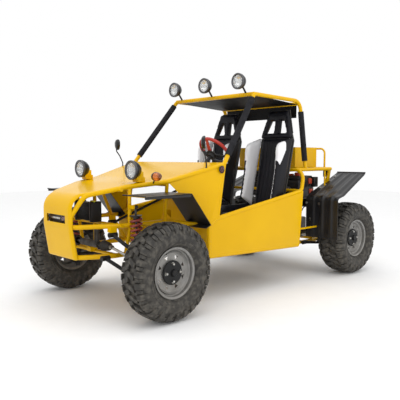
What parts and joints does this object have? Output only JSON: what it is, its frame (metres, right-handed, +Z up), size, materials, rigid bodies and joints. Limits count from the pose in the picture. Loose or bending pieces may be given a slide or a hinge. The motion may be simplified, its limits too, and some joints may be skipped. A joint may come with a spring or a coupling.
{
  "type": "off-road buggy",
  "caption": "Two-seat off-road buggy with a tube frame, sheet panels, roll cage with roof, round lamps, bucket seats and steered front wheels.",
  "frame": {"origin": "on the floor under the middle of the bounding box", "axes": "+Y to the rear, -Y the driving direction, +X the vehicle's left, +Z up"},
  "size_m": [1.49, 2.893, 1.685],
  "materials": {
    "yellow_paint": "gloss",
    "black_paint": "satin",
    "silver_paint": "satin",
    "red_paint": "gloss",
    "black_plastic": "matte",
    "foam": "matte",
    "seat_cover": "matte",
    "tyre_rubber": "matte",
    "cast_metal": "rough",
    "zinc_steel": "satin",
    "amber_plastic": "gloss"
  },
  "bodies": {
    "chassis": {"cabin_frame": "yellow_paint", "cargo_box": "yellow_paint", "engine": "cast_metal", "floor_pan": "yellow_paint", "front_arms": "black_paint", "front_bulkhead": "yellow_paint", "front_frame": "yellow_paint", "front_mudguards": "black_plastic", "front_shocks": "red_paint", "hood_panel": "yellow_paint", "mirrors": "black_paint", "muffler": "black_paint", "nose_lamps": "black_paint", "nose_plate": "yellow_paint", "pedals": "black_paint", "pillar_sleeves": "foam", "rack_housing": "cast_metal", "radiator": "black_paint", "rear_arms": "black_paint", "rear_frame": "yellow_paint", "rear_half_shafts": "zinc_steel", "rear_hub_carriers": "cast_metal", "rear_mudguards": "black_plastic", "rear_shocks": "red_paint", "roll_cage": "yellow_paint", "roof_lamps": "black_paint", "roof_panel": "black_paint", "seat_left": "seat_cover", "seat_right": "seat_cover", "shift_console": "black_plastic", "side_panels": "yellow_paint", "signal_lamps": "amber_plastic", "steering_column": "black_paint", "upper_side_panels": "yellow_paint"},
    "knuckle_left": {"knuckle_left": "cast_metal"},
    "knuckle_right": {"knuckle_right": "cast_metal"},
    "wheel_front_left": {"tyre_front_left": "tyre_rubber", "rim_front_left": "silver_paint"},
    "wheel_front_right": {"tyre_front_right": "tyre_rubber", "rim_front_right": "silver_paint"},
    "wheel_rear_left": {"tyre_rear_left": "tyre_rubber", "rim_rear_left": "silver_paint"},
    "wheel_rear_right": {"tyre_rear_right": "tyre_rubber", "rim_rear_right": "silver_paint"},
    "steering_wheel": {"steering_wheel": "black_paint"},
    "tie_rods": {"tie_rods": "zinc_steel"}
  },
  "joints": [
    {"name": "steer_left", "type": "hinge", "parent": "chassis", "child": "knuckle_left", "pos_m": [0.478, -1.005, 0.3175], "axis": [0, 0, 1], "range_deg": [-28, 28]},
    {"name": "steer_right", "type": "hinge", "parent": "chassis", "child": "knuckle_right", "pos_m": [-0.478, -1.005, 0.3175], "axis": [0, 0, 1], "range_deg": [-28, 28]},
    {"name": "steering_wheel_turn", "type": "hinge", "parent": "chassis", "child": "steering_wheel", "pos_m": [0.285, -0.252, 1.092], "axis": [0, 0.7071, 0.7071], "range_deg": [-225, 225]},
    {"name": "rack_slide", "type": "slide", "parent": "chassis", "child": "tie_rods", "axis": [1, 0, 0], "range_m": [-0.056, 0.056]},
    {"name": "wheel_front_left_spin", "type": "hinge", "parent": "knuckle_left", "child": "wheel_front_left", "pos_m": [0.614, -1.005, 0.3175], "axis": [1, 0, 0], "continuous": true},
    {"name": "wheel_front_right_spin", "type": "hinge", "parent": "knuckle_right", "child": "wheel_front_right", "pos_m": [-0.614, -1.005, 0.3175], "axis": [1, 0, 0], "continuous": true},
    {"name": "wheel_rear_left_spin", "type": "hinge", "parent": "chassis", "child": "wheel_rear_left", "pos_m": [0.614, 1.129, 0.3175], "axis": [1, 0, 0], "continuous": true},
    {"name": "wheel_rear_right_spin", "type": "hinge", "parent": "chassis", "child": "wheel_rear_right", "pos_m": [-0.614, 1.129, 0.3175], "axis": [1, 0, 0], "continuous": true}
  ],
  "couplings": [
    {"joint": "steer_right", "follows": "steer_left", "ratio": 1},
    {"joint": "steering_wheel_turn", "follows": "steer_left", "ratio": 8},
    {"joint": "rack_slide", "follows": "steer_left", "m_per_rad": 0.1095}
  ]
}
